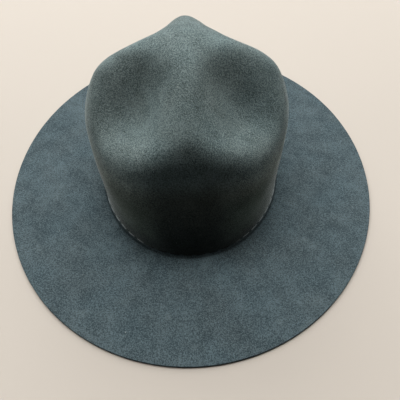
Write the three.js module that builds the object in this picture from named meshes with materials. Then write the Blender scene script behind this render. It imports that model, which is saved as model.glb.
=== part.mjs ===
// A campaign hat in stiff felt: a tall crown with four pinched dents, a broad flat brim
// and a leather sweatband inside the crown's foot.
//
// Millimetres, +Z up. The wearer looks towards -Y. The origin is the middle of the brim's
// underside, on the surface that the hat rests on.

import * as THREE from 'three';

// Driving dimensions of the felt.
const FOOT_WIDTH = 164;
const FOOT_LENGTH = 202;
const CROWN_HEIGHT = 144;
const BRIM_SIDE_WIDTH = 87;
const BRIM_END_WIDTH = 88;
const FELT_THICKNESS = 2.4;
const FOOT_BEND_RADIUS = 3;
const EDGE_ROUNDING = 0.6;

// How far the peak lies off the middle of the crown's foot.
const PEAK_TO_RIGHT = 1.3;
const PEAK_TO_FRONT = 3.5;

// Driving dimensions of the sweatband.
const BAND_HEIGHT = 40;
const BAND_THICKNESS = 1.2;
const BAND_CLEARANCE = 0.3;
const BAND_LIFT = 1.5;

// The crown's form, one row for each section from the foot to the peak. "Out" is a share of
// the foot's half width or half length, and "Up" a share of the wall's height. The side and
// end columns follow the ridges between the dents, and the dent columns a dent's middle.
// "dentTurn" is the direction of a dent's middle, in degrees from the side ridge towards the
// end ridge, and "narrowing" is how fast a dent fades towards its ridges.
const SECTIONS = [
  { name: 'foot', sideOut: 1.0, sideUp: 0.0, endOut: 1.0, endUp: 0.0, dentOut: 1.0, dentUp: 0.0, dentTurn: 55.0, narrowing: 1.04 },
  { name: 'low wall', sideOut: 1.0, sideUp: 0.2, endOut: 0.978, endUp: 0.19, dentOut: 1.01, dentUp: 0.2, dentTurn: 50.5, narrowing: 1.15 },
  { name: 'mid wall', sideOut: 1.005, sideUp: 0.39, endOut: 0.93, endUp: 0.365, dentOut: 1.025, dentUp: 0.39, dentTurn: 45.0, narrowing: 1.25 },
  { name: 'rim', sideOut: 1.011, sideUp: 0.565, endOut: 0.865, endUp: 0.554, dentOut: 0.994, dentUp: 0.492, dentTurn: 39.8, narrowing: 1.3 },
  { name: 'shoulder', sideOut: 0.892, sideUp: 0.741, endOut: 0.812, endUp: 0.694, dentOut: 0.908, dentUp: 0.593, dentTurn: 34.5, narrowing: 1.03 },
  { name: 'hollow', sideOut: 0.731, sideUp: 0.848, endOut: 0.72, endUp: 0.791, dentOut: 0.625, dentUp: 0.668, dentTurn: 39.2, narrowing: 0.97 },
  { name: 'far slope', sideOut: 0.48, sideUp: 0.93, endOut: 0.445, endUp: 0.917, dentOut: 0.443, dentUp: 0.79, dentTurn: 42.9, narrowing: 1.02 },
  { name: 'tip', sideOut: 0.272, sideUp: 0.97, endOut: 0.217, endUp: 0.977, dentOut: 0.252, dentUp: 0.958, dentTurn: 47.0, narrowing: 1.4 },
  { name: 'peak', sideOut: 0.0, sideUp: 1.0, endOut: 0.0, endUp: 1.0, dentOut: 0.0, dentUp: 1.0, dentTurn: 50.0, narrowing: 1.6 },
];

// The four dents. "turn" is how far a dent is turned towards the end ridge, in degrees, and
// "depth" is how much of the dent columns it takes.
const DENTS = [
  { name: 'back right', right: true, front: false, turn: -1.0, depth: 1.0 },
  { name: 'back left', right: false, front: false, turn: 1.0, depth: 1.0 },
  { name: 'front left', right: false, front: true, turn: 1.0, depth: 1.0 },
  { name: 'front right', right: true, front: true, turn: -1.0, depth: 1.0 },
];

// How finely the surfaces are divided.
const AZIMUTHS = 80;
const STEPS_PER_SECTION = 3;
const BEND_STEPS = 3;
const EDGE_STEPS = 2;
const BAND_STEPS = 4;

const TURN = 2 * Math.PI;
const QUARTER = Math.PI / 2;
const WALL_START = FELT_THICKNESS + FOOT_BEND_RADIUS;
const lerp = THREE.MathUtils.lerp;

/**
 * A column of the sections between its rows, as a smooth curve through them. Past the peak
 * an outline runs on to the other side, which makes it level there.
 */
function smoothAt(column, share) {
  const spans = SECTIONS.length - 1;
  const along = Math.min(share * spans, spans - 1e-9);
  const first = Math.floor(along);
  const part = along - first;
  const knot = (index) => {
    if (index < 0) {
      return 2 * SECTIONS[0][column] - SECTIONS[1][column];
    }
    if (index > spans) {
      return SECTIONS[spans - 1][column] * (column.endsWith('Out') ? -1 : 1);
    }
    return SECTIONS[index][column];
  };
  const [a, b, c, d] = [first - 1, first, first + 1, first + 2].map(knot);
  return 0.5 * (2 * b + (c - a) * part + (2 * a - 5 * b + 4 * c - d) * part ** 2
    + (3 * b - a - 3 * c + d) * part ** 3);
}

/** How much of a dent there is at a place on the crown: 0 on a ridge, 1 in a dent's middle. */
function dentShare(share, angle) {
  const dent = DENTS.find(({ right, front }) =>
    right === (Math.cos(angle) >= 0) && front === (Math.sin(angle) < 0));
  const turn = THREE.MathUtils.radToDeg(
    Math.atan2(Math.abs(Math.sin(angle)), Math.abs(Math.cos(angle))));
  const middle = smoothAt('dentTurn', share) + dent.turn;
  const across = turn < middle ? turn / middle : 1 + (turn - middle) / (90 - middle);
  return dent.depth * Math.sin(across * QUARTER) ** (2 * smoothAt('narrowing', share));
}

/** A point of the crown's outer face. "share" runs from 0 at the foot to 1 at the peak. */
function crownPoint(share, angle) {
  const towardsEnd = Math.sin(angle) ** 2;
  const dented = dentShare(share, angle);
  const mixed = (way) => {
    const ridge = lerp(smoothAt(`side${way}`, share), smoothAt(`end${way}`, share), towardsEnd);
    return lerp(ridge, smoothAt(`dent${way}`, share), dented);
  };
  const out = mixed('Out');
  const up = mixed('Up');
  return new THREE.Vector3(
    (FOOT_WIDTH / 2) * out * Math.cos(angle) + PEAK_TO_RIGHT * up ** 3,
    (FOOT_LENGTH / 2) * out * Math.sin(angle) - PEAK_TO_FRONT * up ** 3,
    lerp(WALL_START, CROWN_HEIGHT, up),
  );
}

/** The crown's outward direction, from how its points move along and across the outlines. */
function crownNormal(share, angle) {
  const step = 1e-3;
  const above = crownPoint(Math.min(share + step, 1), angle);
  const upward = above.sub(crownPoint(Math.max(share - step, 0), angle));
  const around = crownPoint(share, angle + step).sub(crownPoint(share, angle - step));
  return around.cross(upward).normalize();
}

/** A point at a depth below the crown's outer face. */
function crownBelow(depth, share, angle) {
  return crownPoint(share, angle).addScaledVector(crownNormal(share, angle), -depth);
}

/** The peak, at a depth below the crown's outer face. */
function peakBelow(depth) {
  return crownPoint(1, 0).sub(new THREE.Vector3(0, 0, depth));
}

/** The foot's oval: a point on it and its outward direction there. */
function footOval(angle) {
  const halfWidth = FOOT_WIDTH / 2;
  const halfLength = FOOT_LENGTH / 2;
  return {
    point: new THREE.Vector3(halfWidth * Math.cos(angle), halfLength * Math.sin(angle), 0),
    outward: new THREE.Vector3(Math.cos(angle) / halfWidth, Math.sin(angle) / halfLength, 0).normalize(),
  };
}

/** The brim's width, measured outwards from the foot's oval. */
function brimWidth(outward) {
  return BRIM_SIDE_WIDTH * outward.x ** 2 + BRIM_END_WIDTH * outward.y ** 2;
}

/** One ring of points, from a function of the angle. */
function ring(pointAt) {
  return Array.from({ length: AZIMUTHS }, (_, index) => pointAt((index / AZIMUTHS) * TURN));
}

/** A ring at a distance outwards from the foot's oval and at a height. */
function ovalRing(distanceAt, height) {
  return ring((angle) => {
    const { point, outward } = footOval(angle);
    return point.addScaledVector(outward, distanceAt(outward)).setZ(height);
  });
}

/** Rings down or up the bend at the crown's foot, on the arc of the radius that is given. */
function bendRings(radius, downwards) {
  const shares = Array.from({ length: BEND_STEPS }, (_, index) => (index + 1) / BEND_STEPS);
  return shares.map((share) => {
    const arc = (downwards ? share : 1 - share) * QUARTER;
    return ovalRing(() => FOOT_BEND_RADIUS - radius * Math.cos(arc), WALL_START - radius * Math.sin(arc));
  });
}

/** Rings round the brim's cut edge, whose two corners are rounded. */
function edgeRings() {
  const corner = (height, startArc) => Array.from({ length: EDGE_STEPS + 1 }, (_, index) => {
    const arc = startArc - (index / EDGE_STEPS) * QUARTER;
    return ovalRing(
      (outward) => brimWidth(outward) - EDGE_ROUNDING + EDGE_ROUNDING * Math.cos(arc),
      height + EDGE_ROUNDING * Math.sin(arc),
    );
  });
  return [...corner(FELT_THICKNESS - EDGE_ROUNDING, QUARTER), ...corner(EDGE_ROUNDING, 0)];
}

/** A closed surface over rings of points, ending in a pole at each end or joined in a loop. */
function skin(rings, poles) {
  const points = [...rings.flat(), ...(poles ?? [])];
  const lastRing = rings.length - 1;
  const at = (row, column) => (row % rings.length) * AZIMUTHS + (column % AZIMUTHS);
  const faces = [];
  const rows = poles ? lastRing : rings.length;
  for (let row = 0; row < rows; row += 1) {
    for (let column = 0; column < AZIMUTHS; column += 1) {
      faces.push(at(row, column), at(row + 1, column), at(row + 1, column + 1));
      faces.push(at(row, column), at(row + 1, column + 1), at(row, column + 1));
    }
  }
  if (poles) {
    const firstPole = points.length - 2;
    const lastPole = points.length - 1;
    for (let column = 0; column < AZIMUTHS; column += 1) {
      faces.push(firstPole, at(0, column), at(0, column + 1));
      faces.push(at(lastRing, column), lastPole, at(lastRing, column + 1));
    }
  }
  const geometry = new THREE.BufferGeometry().setFromPoints(points);
  geometry.setIndex(faces);
  geometry.computeVertexNormals();
  return geometry;
}

/** The felt body: outer crown, bend, brim, edge, underside, bend and inner crown. */
function feltGeometry() {
  const steps = (SECTIONS.length - 1) * STEPS_PER_SECTION;
  const shares = Array.from({ length: steps - 1 }, (_, index) => (index + 1) / steps);
  const innerCrown = shares.map((share) => ring((angle) => crownBelow(FELT_THICKNESS, share, angle)));
  const outerCrown = shares.map((share) => ring((angle) => crownPoint(share, angle))).reverse();
  const rings = [
    ...outerCrown,
    ovalRing(() => 0, WALL_START),
    ...bendRings(FOOT_BEND_RADIUS, true),
    ...edgeRings(),
    ovalRing(() => FOOT_BEND_RADIUS, 0),
    ...bendRings(FOOT_BEND_RADIUS + FELT_THICKNESS, false),
    ...innerCrown,
  ];
  return skin(rings, [peakBelow(0), peakBelow(FELT_THICKNESS)]);
}

/** The place on an outline where the crown's outer face is at a height above the table. */
function shareAtHeight(height, angle) {
  let low = 0;
  let high = 0.5;
  for (let halving = 0; halving < 30; halving += 1) {
    const middle = (low + high) / 2;
    if (crownPoint(middle, angle).z < height) {
      low = middle;
    } else {
      high = middle;
    }
  }
  return low;
}

/** A ring of the sweatband, at a depth below the crown's outer face and at a height. */
function bandRing(depth, height) {
  return ring((angle) => {
    const share = shareAtHeight(Math.max(height, WALL_START), angle);
    return crownBelow(depth, share, angle).setZ(height);
  });
}

/** The sweatband: a thin band that follows the inside of the crown's foot. */
function bandGeometry() {
  const outside = FELT_THICKNESS + BAND_CLEARANCE;
  const inside = outside + BAND_THICKNESS;
  const heights = Array.from({ length: BAND_STEPS + 1 }, (_, index) =>
    BAND_LIFT + (index / BAND_STEPS) * BAND_HEIGHT);
  return skin([
    ...heights.map((height) => bandRing(outside, height)).reverse(),
    ...heights.map((height) => bandRing(inside, height)),
  ]);
}

const felt = new THREE.MeshStandardMaterial({ color: 0x56646a, roughness: 0.95, metalness: 0 });
const leather = new THREE.MeshStandardMaterial({ color: 0x6e4a2f, roughness: 0.55, metalness: 0 });

const hat = new THREE.Group();

const feltBody = new THREE.Mesh(feltGeometry(), felt);
feltBody.name = 'felt_body';
hat.add(feltBody);

const sweatband = new THREE.Mesh(bandGeometry(), leather);
sweatband.name = 'sweatband';
hat.add(sweatband);

export default hat;
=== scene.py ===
"""A campaign hat in stiff blue-grey felt, resting on its brim on a pale floor.

Metres, +Z up. The front of the hat faces -Y. The origin is the middle of the brim's
underside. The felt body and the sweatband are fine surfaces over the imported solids, and
the running stitches round the crown's foot are added to them.
"""

import logging
import math
from dataclasses import dataclass, field
from enum import Enum
from typing import Any, Callable

import bpy
import numpy as np
from mathutils import Matrix, Vector


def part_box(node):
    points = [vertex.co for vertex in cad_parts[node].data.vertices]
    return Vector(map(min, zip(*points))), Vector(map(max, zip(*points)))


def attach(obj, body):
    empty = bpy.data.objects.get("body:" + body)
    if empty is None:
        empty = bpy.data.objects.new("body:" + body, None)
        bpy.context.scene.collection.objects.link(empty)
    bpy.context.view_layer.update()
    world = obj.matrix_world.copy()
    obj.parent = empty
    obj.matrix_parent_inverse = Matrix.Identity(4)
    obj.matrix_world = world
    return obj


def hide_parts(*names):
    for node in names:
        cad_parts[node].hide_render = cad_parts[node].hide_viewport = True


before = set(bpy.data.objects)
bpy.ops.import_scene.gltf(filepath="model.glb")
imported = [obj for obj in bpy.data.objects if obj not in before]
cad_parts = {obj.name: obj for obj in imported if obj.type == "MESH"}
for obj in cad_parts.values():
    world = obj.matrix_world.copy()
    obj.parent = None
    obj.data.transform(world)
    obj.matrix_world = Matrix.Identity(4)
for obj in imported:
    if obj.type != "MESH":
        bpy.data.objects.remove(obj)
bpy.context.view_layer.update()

log = logging.getLogger("campaign_hat")

TURN = 2 * math.pi
QUARTER = math.pi / 2
MM = 0.001
FOOT_WIDTH = 164 * MM
FOOT_LENGTH = 202 * MM
Colour = tuple[float, float, float]
BLACK: Colour = (0.0, 0.0, 0.0)


class Slot(Enum):
    """The record's material slots."""

    FELT = "felt"
    LEATHER = "sweatband_leather"


# Meshes


def ring_faces(rings: int, columns: int, looped: bool) -> np.ndarray:
    """Quads between neighbouring rings of points, facing outwards where rings run downwards.

    Args:
        rings: how many rings there are.
        columns: how many points each ring has.
        looped: whether the last ring joins the first one.

    Returns:
        One row of four point numbers for each quad.
    """
    rows = rings if looped else rings - 1
    row, column = np.meshgrid(np.arange(rows), np.arange(columns), indexing="ij")
    below, beside = (row + 1) % rings, (column + 1) % columns
    corners = (row * columns + column, below * columns + column,
               below * columns + beside, row * columns + beside)
    return np.stack(corners, axis=-1).reshape(-1, 4)


def pole_faces(rings: int, columns: int) -> np.ndarray:
    """Triangles from the first and last ring to the two poles that follow the rings' points.

    Args:
        rings: how many rings there are.
        columns: how many points each ring has.

    Returns:
        One row of three point numbers for each triangle.
    """
    here = np.arange(columns)
    beside = (here + 1) % columns
    first_pole, last_pole = rings * columns, rings * columns + 1
    last = (rings - 1) * columns
    top = np.stack([np.full(columns, first_pole), here, beside], axis=-1)
    bottom = np.stack([last + here, np.full(columns, last_pole), last + beside], axis=-1)
    return np.concatenate([top, bottom])


def mesh_object(name: str, points: np.ndarray, *faces: np.ndarray) -> bpy.types.Object:
    """A smooth-shaded mesh object at the origin.

    Args:
        name: the object's name.
        points: the points, one row of x, y, z each.
        faces: arrays of faces, each with one row of point numbers for a face.

    Returns:
        The new object, linked to the scene.
    """
    corners = np.concatenate([array.ravel() for array in faces])
    sizes = np.concatenate([np.full(len(array), array.shape[1]) for array in faces])
    mesh = bpy.data.meshes.new(name)
    mesh.vertices.add(len(points))
    mesh.vertices.foreach_set("co", points.astype(np.float32).ravel())
    mesh.loops.add(len(corners))
    mesh.loops.foreach_set("vertex_index", corners.astype(np.int32))
    mesh.polygons.add(len(sizes))
    mesh.polygons.foreach_set("loop_start", (np.cumsum(sizes) - sizes).astype(np.int32))
    mesh.update(calc_edges=True)
    mesh.validate()
    mesh.shade_smooth()
    piece = bpy.data.objects.new(name, mesh)
    bpy.context.scene.collection.objects.link(piece)
    return piece


def triangles(piece: bpy.types.Object) -> int:
    """How many triangles the mesh of a piece has."""
    return sum(len(polygon.vertices) - 2 for polygon in piece.data.polygons)


# Shaders


@dataclass
class Value:
    """A socket that takes part in Python expressions, which add Math nodes."""

    shader: "Shader"
    socket: bpy.types.NodeSocket

    def math(self, operation: str, first: Any, second: Any) -> "Value":
        """The output of a Math node on two values."""
        sockets = {0: first, 1: second}
        return self.shader.node("ShaderNodeMath", {"operation": operation}, sockets)["Value"]

    def __add__(self, other: Any) -> "Value":
        """This value plus another."""
        return self.math("ADD", self, other)

    def __radd__(self, other: Any) -> "Value":
        """A number plus this value."""
        return self.math("ADD", other, self)

    def __sub__(self, other: Any) -> "Value":
        """This value less another."""
        return self.math("SUBTRACT", self, other)

    def __rsub__(self, other: Any) -> "Value":
        """A number less this value."""
        return self.math("SUBTRACT", other, self)

    def __mul__(self, other: Any) -> "Value":
        """This value times another."""
        return self.math("MULTIPLY", self, other)

    def __rmul__(self, other: Any) -> "Value":
        """A number times this value."""
        return self.math("MULTIPLY", other, self)

    def __abs__(self) -> "Value":
        """This value without its sign."""
        return self.math("ABSOLUTE", self, 0.0)


@dataclass
class Outputs:
    """A node's outputs by name, as values."""

    shader: "Shader"
    made: bpy.types.Node

    def __getitem__(self, name: Any) -> Value:
        """The output of that name or number."""
        return Value(self.shader, self.made.outputs[name])


class Shader:
    """A material's node tree, with one method that adds every node."""

    def __init__(self, name: str) -> None:
        """Starts an empty node material.

        Args:
            name: the material's name.
        """
        self.material = bpy.data.materials.new(name)
        self.material.use_nodes = True
        self.tree = self.material.node_tree
        self.tree.nodes.clear()

    def node(self, kind: str, settings: dict[str, Any], sockets: dict[Any, Any]) -> Outputs:
        """Adds one node: its settings are set first, then its sockets.

        Args:
            kind: the node's type.
            settings: its properties, with a colour ramp's stops under "stops".
            sockets: for each input, by name or number, a value to set or to link.

        Returns:
            The node's outputs.
        """
        made = self.tree.nodes.new(kind)
        for name, setting in settings.items():
            if name == "stops":
                self._set_stops(made.color_ramp, setting)
            else:
                setattr(made, name, setting)
        for name, given in sockets.items():
            if isinstance(given, Value):
                self.tree.links.new(given.socket, made.inputs[name])
            else:
                made.inputs[name].default_value = given
        return Outputs(self, made)

    @staticmethod
    def _set_stops(ramp: bpy.types.ColorRamp, stops: list[tuple[float, float]]) -> None:
        """Gives a ramp its stops.

        Args:
            ramp: the colour ramp.
            stops: for each stop, its place and its grey level.
        """
        while len(ramp.elements) < len(stops):
            ramp.elements.new(1.0)
        for element, (place, level) in zip(ramp.elements, stops):
            element.position = place
            element.color = (level, level, level, 1.0)

    def coordinates(self) -> Value:
        """The piece's own coordinates, in metres."""
        return self.node("ShaderNodeTexCoord", {}, {})["Object"]

    def noise(self, place: Value, size: float, detail: float, roughness: float = 0.5) -> Value:
        """A soft random pattern from 0 to 1.

        Args:
            place: the coordinates that it reads.
            size: the size of its spots, in metres.
            detail: how many finer patterns lie on it.
            roughness: how strong the finer patterns are.

        Returns:
            The pattern.
        """
        sockets = {"Vector": place, "Scale": 1 / size, "Detail": detail, "Roughness": roughness}
        return self.node("ShaderNodeTexNoise", {}, sockets)["Fac"]

    def ramp(self, value: Value, *stops: tuple[float, float]) -> Value:
        """A value led through straight lines between stops."""
        return self.node("ShaderNodeValToRGB", {"stops": list(stops)}, {"Fac": value})["Color"]

    def step(self, value: Value, low: float, high: float) -> Value:
        """A smooth step of a value, from 0 at the low limit to 1 at the high one."""
        settings = {"interpolation_type": "SMOOTHSTEP"}
        limits = {"Value": value, "From Min": low, "From Max": high}
        return self.node("ShaderNodeMapRange", settings, limits)["Result"]

    def mix(self, share: Any, first: Any, second: Any, blend: str = "MIX") -> Value:
        """Two colours mixed.

        Args:
            share: how much there is of the second colour.
            first: the first colour.
            second: the second colour.
            blend: how the second colour is laid on the first.

        Returns:
            The mixed colour.
        """
        colours = [given if isinstance(given, Value) else (*given, 1.0)
                   for given in (first, second)]
        settings = {"data_type": "RGBA", "blend_type": blend, "clamp_result": False}
        return self.node("ShaderNodeMix", settings, {0: share, 6: colours[0], 7: colours[1]})[2]

    def bump(self, height: Value, depth: float) -> Value:
        """Normals that follow a height from 0 to 1, whose full depth is in metres."""
        sockets = {"Height": height, "Distance": depth, "Strength": 1.0}
        return self.node("ShaderNodeBump", {}, sockets)["Normal"]

    def finish(self, **sockets: Any) -> bpy.types.Material:
        """Ends the tree with a Principled surface.

        Args:
            sockets: its inputs, with a low line where the input's name has a space.

        Returns:
            The finished material.
        """
        inputs = {name.replace("_", " "): given for name, given in sockets.items()}
        surface = self.node("ShaderNodeBsdfPrincipled", {}, inputs)["BSDF"]
        self.node("ShaderNodeOutputMaterial", {}, {"Surface": surface})
        return self.material


@dataclass(frozen=True)
class FeltFinish:
    """Matt felt: darker and bluish on the brim, paler higher up on the crown.

    Short fibres make it speckled over soft patches, and a few specks of lint lie on it. The
    crown's wall has painted warm light. On its front half it has painted shade in the middle
    and at the sides, and between them a paler patch with painted light. It has painted shade
    along its foot, in the seam and on the brim's cut edge.
    """

    # Felt colours: darker and bluer low down on the brim, paler higher up on the crown.
    low_deep: Colour = (0.042, 0.058, 0.064)
    low_pale: Colour = (0.137, 0.178, 0.191)
    high_deep: Colour = (0.068, 0.090, 0.090)
    high_pale: Colour = (0.244, 0.301, 0.295)
    warm: Colour = (1.012, 1.00, 0.995)
    cool: Colour = (0.97, 1.00, 1.015)
    rubbed: Colour = (0.215, 0.265, 0.275)
    lint: Colour = (0.46, 0.48, 0.46)
    fibre_share: float = 0.62
    grain_share: float = 0.38
    speckle_tone: float = 0.78
    patch_tone: float = 0.14
    cloud_tone: float = 0.08
    pale_from: float = 0.405
    pale_to: float = 0.595
    tint_from: float = 0.35
    tint_to: float = 0.65
    rubbed_from: float = 0.59
    rubbed_to: float = 0.75
    rubbed_most: float = 0.4
    lint_most: float = 0.8
    lint_reach: float = 0.035
    nap_speckle: float = 0.8
    nap_patches: float = 0.2
    # Painted shade in the seam's groove at the crown's foot.
    seam_painted_shade: float = 0.5
    seam_inside: tuple[float, float] = (1.004, 1.012)
    seam_outside: tuple[float, float] = (1.014, 1.034)
    seam_low: float = 6.4 * MM
    seam_high: float = 9.6 * MM
    # Painted shade on the brim's cut edge.
    edge_painted_shade: float = 0.65
    edge_low: float = 0.3 * MM
    edge_high: float = 1.5 * MM
    edge_top: float = 2.1 * MM
    # Painted warm reflected light on the crown's wall.
    wall_warm_light: Colour = (1.10, 1.02, 0.93)
    wall_from: float = 3.2 * MM
    wall_full: float = 6.4 * MM
    wall_fall: float = 66 * MM
    wall_to: float = 85 * MM
    low_wall_from: float = 6.4 * MM
    low_wall_full: float = 25.6 * MM
    low_wall_fall: float = 38 * MM
    low_wall_to: float = 72 * MM
    front_from: float = -60 * MM
    front_to: float = 65 * MM
    # Painted shade in the middle of the wall's front half.
    middle_painted_shade: float = 0.46
    middle_from: float = 12 * MM
    middle_to: float = 34 * MM
    # Paler band on the front wall's flanks: partly a paler patch of felt, partly painted light.
    flank_patch_and_light: Colour = (1.48, 1.48, 1.36)
    flank_from: float = 18 * MM
    flank_full: float = 42 * MM
    flank_fall: float = 52 * MM
    flank_to: float = 68 * MM
    # Painted shade at the sides of the wall's lower front.
    side_painted_shade: float = 0.30
    side_from: float = 56 * MM
    side_to: float = 74 * MM
    # Painted shade on the wall just above the crown's foot.
    foot_painted_shade: float = 0.36
    foot_from: float = 2.56 * MM
    foot_full: float = 5.76 * MM
    foot_fall: float = 3.2 * MM
    foot_to: float = 42 * MM
    # Heights over which the felt turns from the low colours to the high ones.
    high_from: float = 5 * MM
    high_to: float = 95 * MM
    fibre_size: float = 0.9 * MM
    grain_size: float = 0.55 * MM
    patch_size: float = 14 * MM
    cloud_size: float = 55 * MM
    tint_size: float = 38 * MM
    rub_size: float = 26 * MM
    lint_spacing: float = 17 * MM
    nap_depth: float = 0.45 * MM

    def material(self) -> bpy.types.Material:
        """Builds the felt's material."""
        shader = Shader("felt")
        place = shader.coordinates()
        fibres = shader.noise(place, self.fibre_size, 2.0, 0.6)
        grain = shader.noise(place, self.grain_size, 2.0)
        patches = shader.noise(place, self.patch_size, 4.0, 0.6)
        clouds = shader.noise(place, self.cloud_size, 3.0)
        speckle = self.fibre_share * fibres + self.grain_share * grain
        tone = (self.speckle_tone * speckle + self.patch_tone * patches
                + self.cloud_tone * clouds)
        ways = shader.node("ShaderNodeSeparateXYZ", {}, {"Vector": place})
        height, aside = ways["Z"], abs(ways["X"])
        plain = self._plain_colour(shader, place, height, tone)
        front = 1.0 - shader.step(ways["Y"], self.front_from, self.front_to)
        wall = self._wall_share(shader, height)
        low_wall = front * self._low_wall_share(shader, height)
        flank = low_wall * self._flank_share(shader, aside)
        # Painted shade in the middle of the wall's front.
        middle = front * wall * (1.0 - shader.step(aside, self.middle_from, self.middle_to))
        # Painted shade at the wall's lower front sides.
        side = low_wall * shader.step(aside, self.side_from, self.side_to)
        # Painted warm light on the wall.
        walled = shader.mix(wall, plain, self.wall_warm_light, "MULTIPLY")
        # Paler patch with painted light on the front wall's flanks.
        walled = shader.mix(flank, walled, self.flank_patch_and_light, "MULTIPLY")
        # All the painted shades together, which darken the colour towards black.
        painted_shade = self._foot_share(shader, height)
        for share in (self._seam_share(shader, place, height), self._edge_share(shader, height),
                      self.middle_painted_shade * middle, self.side_painted_shade * side):
            painted_shade = painted_shade + (1.0 - painted_shade) * share
        shaded = shader.mix(painted_shade, walled, BLACK)
        colour = shader.mix(self._lint_share(shader, place), shaded, self.lint)
        nap = self.nap_speckle * speckle + self.nap_patches * patches
        normal = shader.bump(nap, self.nap_depth)
        return shader.finish(
            Base_Color=colour, Roughness=0.95, Normal=normal,
            Specular_IOR_Level=0.15, Sheen_Weight=0.50, Sheen_Roughness=0.25,
            Sheen_Tint=(0.80, 0.85, 0.82, 1.0),
        )

    def _plain_colour(self, shader: Shader, place: Value, height: Value, tone: Value) -> Value:
        """The felt's colour without the painted light and shade on the wall, and without the lint.
        """
        paleness = shader.ramp(tone, (self.pale_from, 0.0), (self.pale_to, 1.0))
        # Darker and bluer low down, paler higher up.
        low_colour = shader.mix(paleness, self.low_deep, self.low_pale)
        high_colour = shader.mix(paleness, self.high_deep, self.high_pale)
        felt = shader.mix(shader.step(height, self.high_from, self.high_to), low_colour, high_colour)
        drift = shader.noise(place, self.tint_size, 2.0)
        warmth = shader.ramp(drift, (self.tint_from, 0.0), (self.tint_to, 1.0))
        tint = shader.mix(warmth, self.cool, self.warm)
        tinted = shader.mix(1.0, felt, tint, "MULTIPLY")
        streaks = shader.noise(place, self.rub_size, 6.0, 0.68)
        worn = shader.ramp(streaks, (self.rubbed_from, 0.0), (self.rubbed_to, self.rubbed_most))
        return shader.mix(worn, tinted, self.rubbed)

    def _wall_share(self, shader: Shader, height: Value) -> Value:
        """How far a place is on the wall's band with the painted warm light, which ends under the
        dents.
        """
        above = shader.step(height, self.wall_from, self.wall_full)
        return above - above * shader.step(height, self.wall_fall, self.wall_to)

    def _low_wall_share(self, shader: Shader, height: Value) -> Value:
        """How far a place is on the lower half of the wall."""
        above = shader.step(height, self.low_wall_from, self.low_wall_full)
        return above - above * shader.step(height, self.low_wall_fall, self.low_wall_to)

    def _flank_share(self, shader: Shader, aside: Value) -> Value:
        """How far a place is between the wall's middle and its sides, where the paler patch with
        painted light lies.
        """
        inside = shader.step(aside, self.flank_from, self.flank_full)
        return inside - shader.step(aside, self.flank_fall, self.flank_to)

    def _foot_share(self, shader: Shader, height: Value) -> Value:
        """How much painted shade lies on the wall above the crown's foot."""
        above = shader.step(height, self.foot_from, self.foot_full)
        below = shader.step(height, self.foot_fall, self.foot_to)
        return self.foot_painted_shade * (above - above * below)

    def _seam_share(self, shader: Shader, place: Value, height: Value) -> Value:
        """How much painted shade lies in the seam, where the wall meets the brim, above and
        underneath.
        """
        sockets = {0: place, 1: (2 / FOOT_WIDTH, 2 / FOOT_LENGTH, 0.0)}
        flat = shader.node("ShaderNodeVectorMath", {"operation": "MULTIPLY"}, sockets)["Vector"]
        out = shader.node("ShaderNodeVectorMath", {"operation": "LENGTH"}, {0: flat})["Value"]
        band = shader.step(out, *self.seam_inside) - shader.step(out, *self.seam_outside)
        low = 1.0 - shader.step(height, self.seam_low, self.seam_high)
        return self.seam_painted_shade * (band * low)

    def _edge_share(self, shader: Shader, height: Value) -> Value:
        """How much painted shade lies at the height of the brim's cut edge."""
        above = shader.step(height, 0.0, self.edge_low)
        return self.edge_painted_shade * (above - shader.step(height, self.edge_high, self.edge_top))

    def _lint_share(self, shader: Shader, place: Value) -> Value:
        """How much a speck of lint covers: most in its middle and 0 between the specks."""
        sockets = {"Vector": place, "Scale": 1 / self.lint_spacing}
        cells = shader.node("ShaderNodeTexVoronoi", {"feature": "F1"}, sockets)
        return shader.ramp(cells["Distance"], (0.0, self.lint_most), (self.lint_reach, 0.0))


@dataclass(frozen=True)
class LeatherFinish:
    """Plain brown leather with a fine grain."""

    deep: Colour = (0.085, 0.036, 0.016)
    pale: Colour = (0.190, 0.090, 0.042)
    grain_size: float = 1.1 * MM
    patch_size: float = 22 * MM
    grain_depth: float = 0.12 * MM
    crease_width: float = 0.22
    crease_shade: float = 0.5
    pale_from: float = 0.3
    pale_to: float = 0.7
    roughness: float = 0.62
    polish: float = 0.14

    def material(self) -> bpy.types.Material:
        """Builds the leather's material."""
        shader = Shader("sweatband_leather")
        place = shader.coordinates()
        patches = shader.noise(place, self.patch_size, 4.0)
        grain = shader.node("ShaderNodeTexVoronoi", {"feature": "DISTANCE_TO_EDGE"},
                            {"Vector": place, "Scale": 1 / self.grain_size})["Distance"]
        raised = shader.ramp(grain, (0.0, 0.0), (self.crease_width, 1.0))
        tone = shader.ramp(patches, (self.pale_from, 0.0), (self.pale_to, 1.0))
        colour = shader.mix(tone, self.deep, self.pale)
        creased = self.crease_shade - self.crease_shade * raised
        return shader.finish(
            Base_Color=shader.mix(creased, colour, self.deep),
            Roughness=self.roughness - self.polish * raised,
            Normal=shader.bump(raised, self.grain_depth),
        )


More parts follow.
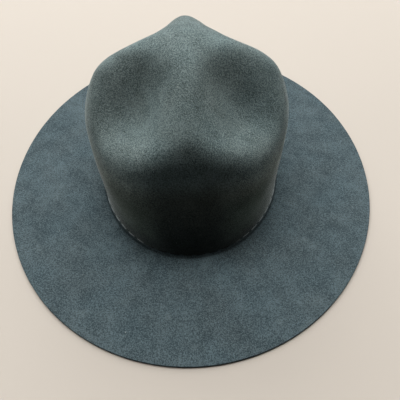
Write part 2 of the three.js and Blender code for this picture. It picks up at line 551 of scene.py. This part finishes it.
@dataclass(frozen=True)
class ThreadFinish:
    """Grey sewing thread, with painted shade on it at the front."""

    deep: Colour = (0.26, 0.30, 0.305)
    pale: Colour = (0.58, 0.62, 0.63)
    front_painted_shade: Colour = (0.02, 0.022, 0.024)
    front_shade_from: float = -94 * MM
    front_shade_to: float = -82 * MM
    fibre_size: float = 0.3 * MM

    def material(self) -> bpy.types.Material:
        """Builds the thread's material."""
        shader = Shader("thread")
        place = shader.coordinates()
        thread = shader.mix(shader.noise(place, self.fibre_size, 2.0), self.deep, self.pale)
        back = shader.node("ShaderNodeSeparateXYZ", {}, {"Vector": place})["Y"]
        # Painted shade: the thread is near black at the front.
        colour = shader.mix(shader.step(back, self.front_shade_from, self.front_shade_to), self.front_painted_shade, thread)
        return shader.finish(Base_Color=colour, Roughness=0.85, Specular_IOR_Level=0.2)


@dataclass(frozen=True)
class FloorFinish:
    """A plain pale floor."""

    colour: Colour = (0.55, 0.503, 0.448)

    def material(self) -> bpy.types.Material:
        """Builds the floor's material."""
        colour = (*self.colour, 1.0)
        return Shader("floor").finish(Base_Color=colour, Roughness=0.9, Specular_IOR_Level=0.05)


# The hat's form


@dataclass(frozen=True)
class Section:
    """One section of the crown.

    How far out and how far up each outline is there, as shares, then the direction of the
    dents' middle in degrees from the side ridge, and how fast the dents fade.
    """

    name: str
    side_out: float
    side_up: float
    end_out: float
    end_up: float
    dent_out: float
    dent_up: float
    dent_turn: float
    narrowing: float


@dataclass(frozen=True)
class Dent:
    """One dent: how far it is turned towards the end ridge, in degrees, and its depth."""

    name: str
    turn: float
    depth: float


@dataclass(frozen=True)
class CrownForm:
    """The crown's outer face as a function of two parameters.

    The first parameter, "share", runs from 0 at the foot to 1 at the peak along smooth
    outlines. The second, "angle", runs round the foot's oval from +X by way of +Y.
    """

    foot_width: float = FOOT_WIDTH
    foot_length: float = FOOT_LENGTH
    height: float = field(default_factory=lambda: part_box("felt_body")[1].z)
    felt_thickness: float = 2.4 * MM
    bend_radius: float = 3 * MM
    peak_to_right: float = 1.3 * MM
    peak_to_front: float = 3.5 * MM
    lean_power: int = 3
    sections: tuple[Section, ...] = (
        Section("foot", 1.0, 0.0, 1.0, 0.0, 1.0, 0.0, 55.0, 1.04),
        Section("low wall", 1.0, 0.2, 0.978, 0.19, 1.01, 0.2, 50.5, 1.15),
        Section("mid wall", 1.005, 0.39, 0.93, 0.365, 1.025, 0.39, 45.0, 1.25),
        Section("rim", 1.011, 0.565, 0.865, 0.554, 0.994, 0.492, 39.8, 1.3),
        Section("shoulder", 0.892, 0.741, 0.812, 0.694, 0.908, 0.593, 34.5, 1.03),
        Section("hollow", 0.731, 0.848, 0.72, 0.791, 0.625, 0.668, 39.2, 0.97),
        Section("far slope", 0.48, 0.93, 0.445, 0.917, 0.443, 0.79, 42.9, 1.02),
        Section("tip", 0.272, 0.97, 0.217, 0.977, 0.252, 0.958, 47.0, 1.4),
        Section("peak", 0.0, 1.0, 0.0, 1.0, 0.0, 1.0, 50.0, 1.6),
    )
    dents: tuple[Dent, ...] = (
        Dent("back right", -1.0, 1.0),
        Dent("back left", 1.0, 1.0),
        Dent("front left", 1.0, 1.0),
        Dent("front right", -1.0, 1.0),
    )

    @property
    def wall_start(self) -> float:
        """The height above the floor where the crown's wall begins."""
        return self.felt_thickness + self.bend_radius

    def smooth(self, column: str, share: np.ndarray) -> np.ndarray:
        """A column of the sections between its rows, as a smooth curve through them.

        Between two rows it is the cubic whose slope at each row is half the step from the
        row before to the row after. Past the peak an outline runs on to the other side,
        which makes it level there.

        Args:
            column: the name of the sections' field.
            share: how far up each point is, from 0 to 1.

        Returns:
            The column's value at each point.
        """
        rows = np.array([getattr(section, column) for section in self.sections])
        past = -rows[-2] if column.endswith("out") else rows[-2]
        knots = np.concatenate([[2 * rows[0] - rows[1]], rows, [past]])
        spans = len(rows) - 1
        along = np.clip(share * spans, 0, spans - 1e-9)
        first = along.astype(int)
        part = along - first
        a, b, c, d = (knots[first + step] for step in range(4))
        return 0.5 * (2 * b + (c - a) * part + (2 * a - 5 * b + 4 * c - d) * part ** 2
                      + (3 * b - a - 3 * c + d) * part ** 3)

    def dent_share(self, share: np.ndarray, angle: np.ndarray) -> np.ndarray:
        """How much of a dent there is: 0 on a ridge and 1 in a dent's middle.

        Args:
            share: how far up each point is.
            angle: how far round each point is.

        Returns:
            A power of the sine of the way across the dent, at each point.
        """
        quarter = (angle % TURN // QUARTER).astype(int) % 4
        numbers = np.array([(dent.turn, dent.depth) for dent in self.dents])
        turned, depth = np.moveaxis(numbers[quarter], -1, 0)
        turn = np.degrees(np.arctan2(np.abs(np.sin(angle)), np.abs(np.cos(angle))))
        middle = self.smooth("dent_turn", share) + turned
        across = np.where(turn < middle, turn / middle, 1 + (turn - middle) / (90 - middle))
        return depth * np.abs(np.sin(across * QUARTER)) ** (2 * self.smooth("narrowing", share))

    def point(self, share: np.ndarray, angle: np.ndarray) -> np.ndarray:
        """Points of the outer face: the ridges' outline mixed with the dents' one.

        Args:
            share: how far up each point is.
            angle: how far round each point is.

        Returns:
            The points, with x, y, z in the last axis.
        """
        towards_end = np.sin(angle) ** 2
        dented = self.dent_share(share, angle)

        def mixed(way: str) -> np.ndarray:
            """How far out or up the face is."""
            side, end, dent = (self.smooth(f"{column}_{way}", share)
                               for column in ("side", "end", "dent"))
            return (side * (1 - towards_end) + end * towards_end) * (1 - dented) + dent * dented

        out, up = mixed("out"), mixed("up")
        lean = up ** self.lean_power
        return np.stack([
            self.foot_width / 2 * out * np.cos(angle) + self.peak_to_right * lean,
            self.foot_length / 2 * out * np.sin(angle) - self.peak_to_front * lean,
            self.wall_start + (self.height - self.wall_start) * up,
        ], axis=-1)

    def normal(self, share: np.ndarray, angle: np.ndarray) -> np.ndarray:
        """The outer face's outward direction: the cross product of its two slopes."""
        step = 1e-3
        upper, lower = np.minimum(share + step, 1), np.maximum(share - step, 0)
        upward = self.point(upper, angle) - self.point(lower, angle)
        around = self.point(share, angle + step) - self.point(share, angle - step)
        across = np.cross(around, upward)
        return across / np.linalg.norm(across, axis=-1, keepdims=True)

    def below(self, depth: Any, share: np.ndarray, angle: np.ndarray) -> np.ndarray:
        """Points at a depth below the outer face."""
        return self.point(share, angle) - depth * self.normal(share, angle)

    def peak(self, depth: float) -> np.ndarray:
        """The peak, at a depth below the outer face."""
        return self.point(np.ones(1), np.zeros(1)) - (0, 0, depth)

    def oval(self, distance: Any, height: Any, angle: np.ndarray) -> np.ndarray:
        """Points at a distance outwards from the foot's oval and at a height.

        Args:
            distance: how far outwards, along the oval's own outward direction.
            height: how far above the floor.
            angle: how far round each point is.

        Returns:
            The points, with x, y, z in the last axis.
        """
        half = np.array([self.foot_width, self.foot_length]) / 2
        round_oval = np.stack([np.cos(angle), np.sin(angle)], axis=-1)
        outward = round_oval / half
        outward /= np.linalg.norm(outward, axis=-1, keepdims=True)
        flat = half * round_oval + np.asarray(distance)[..., None] * outward
        tall = np.broadcast_to(height, flat.shape[:-1])
        return np.concatenate([flat, tall[..., None]], axis=-1)


@dataclass
class FeltBody:
    """The felt in one piece: crown, foot bend, brim with its cut edge, and the inside."""

    form: CrownForm
    edge_rounding: float = 0.6 * MM
    unevenness: float = 0.25 * MM
    brim_unevenness: float = 0.6
    groove_depth: float = 0.7 * MM
    groove_arc: float = 1.0
    groove_width: float = 0.3
    azimuths: int = 400
    crown_rows: int = 118
    brim_rows: int = 30
    bend_rows: int = 16
    corner_rows: int = 4
    under_rows: int = 4
    inner_rows: int = 44
    finish: FeltFinish = field(default_factory=FeltFinish)

    def brim_width(self, angle: np.ndarray) -> np.ndarray:
        """The brim's width: its width at the sides and at the ends, by the oval's direction."""
        half_x, half_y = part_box("felt_body")[1].xy
        sides = half_x - self.form.foot_width / 2
        ends = half_y - self.form.foot_length / 2
        towards_end = (np.sin(angle) / self.form.foot_length) ** 2
        towards_side = (np.cos(angle) / self.form.foot_width) ** 2
        return (sides * towards_side + ends * towards_end) / (towards_side + towards_end)

    def bend(self, radius: Any, arc: np.ndarray, angle: np.ndarray) -> np.ndarray:
        """Points of the bend at the crown's foot: an arc about its centre, from 0 at the wall."""
        bend_radius = self.form.bend_radius
        return self.form.oval(bend_radius - radius * np.cos(arc),
                              self.form.wall_start - radius * np.sin(arc), angle)

    def groove(self, arc: np.ndarray) -> np.ndarray:
        """How deep the seam pulls a groove into the bend, by the direction on its arc."""
        return self.groove_depth * np.exp(-((arc - self.groove_arc) / self.groove_width) ** 2)

    def corner(self, low: bool, arc: np.ndarray, angle: np.ndarray) -> np.ndarray:
        """Points of one rounded corner of the brim's edge: an arc of the rounding's radius.

        Args:
            low: whether it is the corner at the underside.
            arc: the arc's direction, from straight up to straight down.
            angle: how far round each point is.

        Returns:
            The points.
        """
        radius = self.edge_rounding
        centre = radius if low else self.form.felt_thickness - radius
        distance = self.brim_width(angle) - radius + radius * np.cos(arc)
        return self.form.oval(distance, centre + radius * np.sin(arc), angle)

    def brim(self, height: float, part: np.ndarray, angle: np.ndarray) -> np.ndarray:
        """Points of the brim's flat faces: part runs from 0 at the bend to 1 at the edge."""
        start = self.form.bend_radius
        stop = self.brim_width(angle) - self.edge_rounding
        return self.form.oval(start + (stop - start) * part, height, angle)

    def uneven(self, points: np.ndarray) -> np.ndarray:
        """The soft unevenness of blocked felt: a sum of long sine waves in four directions."""
        lengths = np.array([0.061, 0.043, 0.029, 0.019])
        ways = np.array([(0.8, 0.5, 0.33), (-0.45, 0.86, 0.24),
                         (0.3, -0.42, 0.86), (0.62, 0.61, -0.5)])
        phases = np.array([0.4, 1.9, 3.3, 5.0])
        waves = np.sin(points @ ways.T / lengths * TURN + phases) * lengths / lengths.max()
        return waves.sum(axis=-1) / 2

    def build(self) -> bpy.types.Object:
        """Makes the felt body and puts it in the frame.

        Returns:
            The felt body.
        """
        angle = np.arange(self.azimuths)[None, :] / self.azimuths * TURN
        rise = np.linspace(1, 0, self.crown_rows + 1)[1:, None]
        crown = self.form.point(rise, angle)
        swell = self.unevenness * self.uneven(crown) * np.sqrt(rise)
        crown += swell[..., None] * self.form.normal(rise, angle)
        arc = np.linspace(0, QUARTER, self.bend_rows + 1)[1:, None]
        part = np.linspace(0, 1, self.brim_rows + 1)[1:-1, None]
        top = self.brim(self.form.felt_thickness, part, angle)
        swell = self.unevenness * self.uneven(top) * np.sin(part * math.pi)
        top[..., 2] += self.brim_unevenness * swell
        corner = np.linspace(QUARTER, 0, self.corner_rows + 1)[:, None]
        under = np.linspace(1, 0, self.under_rows + 1)[1:-1, None]
        inner_rise = np.linspace(0, 1, self.inner_rows + 1)[1:-1, None]
        rows = [
            crown,
            self.bend(self.form.bend_radius + self.groove(arc), arc, angle),
            top,
            self.corner(False, corner, angle),
            self.corner(True, corner - QUARTER, angle),
            self.brim(0.0, under, angle),
            self.bend(self.form.bend_radius + self.form.felt_thickness, arc[::-1], angle),
            self.form.below(self.form.felt_thickness, inner_rise, angle),
        ]
        rings = np.concatenate(rows)
        poles = np.concatenate([self.form.peak(0.0), self.form.peak(self.form.felt_thickness)])
        points = np.concatenate([rings.reshape(-1, 3), poles])
        quads = ring_faces(len(rings), self.azimuths, False)
        caps = pole_faces(len(rings), self.azimuths)
        piece = mesh_object("felt_hat_body", points, quads, caps)
        piece.data.materials.append(self.finish.material())
        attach(piece, "root")
        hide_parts("felt_body")
        return piece


@dataclass
class Sweatband:
    """The leather band inside the crown's foot, with soft edges."""

    form: CrownForm
    thickness: float = 1.2 * MM
    clearance: float = 0.3 * MM
    azimuths: int = 240
    wall_rows: int = 14
    end_rows: int = 6
    halvings: int = 30
    finish: LeatherFinish = field(default_factory=LeatherFinish)

    def build(self) -> bpy.types.Object:
        """Makes the band: its section is a tall thin oblong with round ends.

        Returns:
            The sweatband.
        """
        low, high = (corner.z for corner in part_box("sweatband"))
        radius = self.thickness / 2
        rows = np.linspace(high - radius, low + radius, self.wall_rows)
        arc = np.linspace(0, math.pi, self.end_rows + 1)[1:-1]
        heights = np.concatenate([rows, low + radius - radius * np.sin(arc),
                                  rows[::-1], high - radius + radius * np.sin(arc)])
        straight = np.ones(len(rows))
        outward = np.concatenate([straight, np.cos(arc), -straight, -np.cos(arc)])
        depth = self.form.felt_thickness + self.clearance + radius - radius * outward
        angle = np.arange(self.azimuths)[None, :] / self.azimuths * TURN
        share = self.share_at(np.maximum(heights, self.form.wall_start)[:, None], angle)
        rings = self.form.below(depth[:, None, None], share, angle)
        rings[..., 2] = heights[:, None]
        piece = mesh_object("leather_sweatband", rings.reshape(-1, 3),
                            ring_faces(len(rings), self.azimuths, True))
        piece.data.materials.append(self.finish.material())
        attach(piece, "root")
        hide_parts("sweatband")
        return piece

    def share_at(self, height: np.ndarray, angle: np.ndarray) -> np.ndarray:
        """How far up the crown's outlines a height is, found by halving.

        Args:
            height: the heights above the floor.
            angle: how far round each point is.

        Returns:
            The shares at which the crown's outer face has those heights.
        """
        height, angle = np.broadcast_arrays(height, angle)
        low, high = np.zeros(height.shape), np.full(height.shape, 0.5)
        for _ in range(self.halvings):
            middle = (low + high) / 2
            under = self.form.point(middle, angle)[..., 2] < height
            low, high = np.where(under, middle, low), np.where(under, high, middle)
        return low


@dataclass
class StitchRow:
    """Running stitches of two-ply thread round the crown's foot."""

    form: CrownForm
    stitch: float = 9 * MM
    gap: float = 1.8 * MM
    thread: float = 0.8 * MM
    twist: float = 2.6 * MM
    arc: float = 0.2
    dip: float = 0.9
    dip_power: int = 6
    sunk: float = 0.1
    ply_overlap: float = 1.15
    path_points: int = 3601
    stations: int = 19
    sides: int = 6
    plies: int = 2
    finish: ThreadFinish = field(default_factory=ThreadFinish)

    def build(self) -> bpy.types.Object:
        """Makes the row: two plies twist about each stitch, whose ends dip into the felt.

        Returns:
            The stitches, as one piece.
        """
        angle = np.linspace(0, TURN, self.path_points)
        lengths = np.linalg.norm(np.diff(self.path(angle, 0.0), axis=0), axis=-1)
        along = np.concatenate([[0.0], np.cumsum(lengths)])
        count = round(along[-1] / (self.stitch + self.gap))
        pitch = along[-1] / count
        part = np.linspace(0, 1, self.stations)
        start = np.arange(count) * pitch
        place = start[:, None] + part * (pitch - self.gap)
        proud = -self.dip * self.thread * np.abs(2 * part - 1) ** self.dip_power
        middle = self.path(np.interp(place, along, angle), proud)
        ply_radius = self.thread / 4
        turn = part * (pitch - self.gap) / self.twist * TURN
        ply = np.arange(self.plies) / self.plies * TURN
        swing = turn[None, :] + ply[:, None]
        ahead = np.gradient(middle, axis=1)
        ahead /= np.linalg.norm(ahead, axis=-1, keepdims=True)
        upward = np.array([0.0, 0.0, 1.0])
        aside = np.cross(ahead, upward)
        aside /= np.linalg.norm(aside, axis=-1, keepdims=True)
        lift = np.cross(aside, ahead)
        centre = middle[:, None] + ply_radius * (
            np.cos(swing)[None, ..., None] * aside[:, None]
            + np.sin(swing)[None, ..., None] * lift[:, None])
        side = np.arange(self.sides) / self.sides * TURN
        tube = centre[..., None, :] + self.ply_overlap * ply_radius * (
            np.cos(side)[:, None] * aside[:, None, :, None, :]
            - np.sin(side)[:, None] * lift[:, None, :, None, :])
        tubes = tube.reshape(-1, self.stations * self.sides, 3)
        ends = np.stack([centre[..., 0, :], centre[..., -1, :]], axis=-2).reshape(-1, 2, 3)
        each = np.concatenate([tubes, ends], axis=1)
        shift = np.arange(len(each))[:, None, None] * each.shape[1]
        quads = (ring_faces(self.stations, self.sides, False)[None] + shift).reshape(-1, 4)
        caps = (pole_faces(self.stations, self.sides)[None] + shift).reshape(-1, 3)
        piece = mesh_object("foot_stitches", each.reshape(-1, 3), quads, caps)
        piece.data.materials.append(self.finish.material())
        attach(piece, "root")
        return piece

    def path(self, angle: np.ndarray, proud: Any) -> np.ndarray:
        """The row's middle line on the bend at the crown's foot, so far proud of the felt."""
        radius = self.form.bend_radius - proud - self.sunk * self.thread
        return self.form.oval(self.form.bend_radius - radius * math.cos(self.arc),
                              self.form.wall_start - radius * math.sin(self.arc), angle)


# The studio


@dataclass(frozen=True)
class Lamp:
    """A soft square light that faces the hat, by its direction from it.

    The azimuth runs in degrees from +Y, behind the hat, towards +X.
    """

    name: str
    azimuth: float
    elevation: float
    power: float
    distance: float = 3.4
    size: float = 1.6
    colour: Colour = (1.0, 1.0, 1.0)
    aim: tuple[float, float, float] = (0.0, 0.0, 0.06)

    def build(self) -> None:
        """Adds the light to the scene."""
        light = bpy.data.lights.new(self.name, "AREA")
        light.size = self.size
        light.energy = self.power
        light.color = self.colour
        azimuth, elevation = math.radians(self.azimuth), math.radians(self.elevation)
        flat = math.cos(elevation)
        way = Vector((flat * math.sin(azimuth), flat * math.cos(azimuth), math.sin(elevation)))
        place = self.distance * way
        lamp = bpy.data.objects.new(self.name, light)
        lamp.location = place
        lamp.rotation_euler = (Vector(self.aim) - place).to_track_quat("-Z", "Y").to_euler()
        bpy.context.scene.collection.objects.link(lamp)


@dataclass
class Studio:
    """The floor, the lights and the camera at the photograph's place."""

    camera_place: tuple[float, float, float] = (0.0069, -0.2647, 0.2968)
    camera_yaw: float = 0.37
    camera_pitch: float = 52.96
    camera_roll: float = -1.72
    lens_mm: float = 36.0
    sensor_mm: float = 36.0
    floor_size: float = 6.0
    floor_drop: float = 0.2 * MM
    surroundings: Colour = (0.50, 0.47, 0.43)
    look: str = "Medium High Contrast"
    floor: FloorFinish = field(default_factory=FloorFinish)
    lamps: tuple[Lamp, ...] = (
        Lamp("overhead", 0, 80, 62.0),
        Lamp("low behind", 0, 30, 32.0),
        Lamp("low behind left", 330, 30, 29.0),
        Lamp("low behind right", 30, 30, 22.0),
        Lamp("lowest behind left", 330, 12, 17.0),
        Lamp("right", 60, 55, 17.0),
        Lamp("left behind", 300, 55, 15.5),
        Lamp("left", 270, 55, 8.5),
        Lamp("low right behind", 60, 30, 4.5),
        Lamp("low left", 270, 12, 12.0, colour=(1.0, 0.97, 0.93)),
        Lamp("low right", 90, 12, 10.5, colour=(1.0, 0.95, 0.90)),
        Lamp("low front left", 235, 12, 2.4, colour=(1.0, 0.95, 0.86)),
        Lamp("low front right", 127, 12, 1.6, colour=(1.0, 0.95, 0.86)),
    )

    def build_camera(self) -> None:
        """Sets the camera: it looks towards +Y, turned by its yaw, pitch and roll."""
        turns = (self.camera_yaw, self.camera_pitch, self.camera_roll)
        yaw, pitch, roll = (math.radians(turn) for turn in turns)
        flat = math.cos(pitch)
        forward = Vector((math.sin(yaw) * flat, math.cos(yaw) * flat, -math.sin(pitch)))
        right = Vector((math.cos(yaw), -math.sin(yaw), 0.0))
        up = right.cross(forward)
        rolled_right = math.cos(roll) * right + math.sin(roll) * up
        rolled_up = math.cos(roll) * up - math.sin(roll) * right
        camera = bpy.data.objects.new("camera", bpy.data.cameras.new("camera"))
        camera.data.lens = self.lens_mm
        camera.data.sensor_width = self.sensor_mm
        camera.data.sensor_fit = "HORIZONTAL"
        camera.data.clip_start = 0.01
        turned = Matrix((rolled_right, rolled_up, -forward)).transposed().to_4x4()
        camera.matrix_world = Matrix.Translation(self.camera_place) @ turned
        bpy.context.scene.collection.objects.link(camera)
        bpy.context.scene.camera = camera

    def build_floor(self) -> None:
        """Adds the plain floor."""
        half = self.floor_size / 2
        corners = np.array([(-half, -half), (half, -half), (half, half), (-half, half)])
        points = np.column_stack([corners, np.full(4, -self.floor_drop)])
        piece = mesh_object("floor", points, np.array([[0, 1, 2, 3]]))
        piece.data.materials.append(self.floor.material())
        piece.visible_diffuse = False

    def build(self) -> None:
        """Builds the camera, the lights, the floor and the surroundings, which give no light."""
        self.build_camera()
        for lamp in self.lamps:
            lamp.build()
        self.build_floor()
        world = bpy.data.worlds.new("surroundings")
        bpy.context.scene.world = world
        world.use_nodes = True
        background = world.node_tree.nodes["Background"]
        background.inputs["Color"].default_value = (*self.surroundings, 1.0)
        background.inputs["Strength"].default_value = 1.0
        world.cycles_visibility.diffuse = False
        world.cycles_visibility.glossy = False
        bpy.context.scene.view_settings.view_transform = "Standard"
        bpy.context.scene.view_settings.look = self.look


def main() -> None:
    """Builds the studio and each piece of the hat, in order."""
    logging.basicConfig(level=logging.INFO)
    Studio().build()
    form = CrownForm()
    builders: tuple[Callable[[], bpy.types.Object], ...] = (
        FeltBody(form).build, Sweatband(form).build, StitchRow(form).build,
    )
    for build in builders:
        piece = build()
        log.info("%s: %d triangles", piece.name, triangles(piece))


if __name__ == "__main__":
    main()
